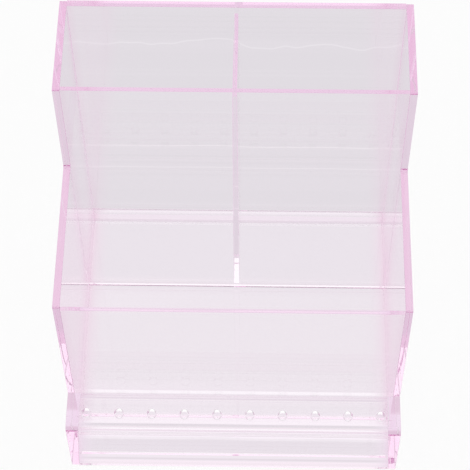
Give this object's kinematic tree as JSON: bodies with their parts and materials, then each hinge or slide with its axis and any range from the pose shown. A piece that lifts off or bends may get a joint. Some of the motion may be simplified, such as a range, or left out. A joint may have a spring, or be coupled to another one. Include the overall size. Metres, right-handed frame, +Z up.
{
  "type": "stepped desktop storage box",
  "caption": "Open-topped stepped organiser of clear tinted plastic: a tall divided rear bay, a lower open bay, and a low front ledge with a row of holes for drill bits.",
  "frame": {"origin": "middle of the base, on the surface that the box stands on", "axes": "+X to the user's right, -Y to the front where the ledge is, +Z up"},
  "size_m": [0.12, 0.109, 0.1375],
  "materials": {
    "clear_pink_plastic": "clear pink acrylic, polished"
  },
  "bodies": {
    "root": {"left_side_panel": "clear_pink_plastic", "right_side_panel": "clear_pink_plastic", "back_panel": "clear_pink_plastic", "rear_bay_front_panel": "clear_pink_plastic", "middle_bay_front_panel": "clear_pink_plastic", "centre_divider": "clear_pink_plastic", "floor_panel": "clear_pink_plastic", "bit_rack": "clear_pink_plastic"}
  },
  "joints": []
}
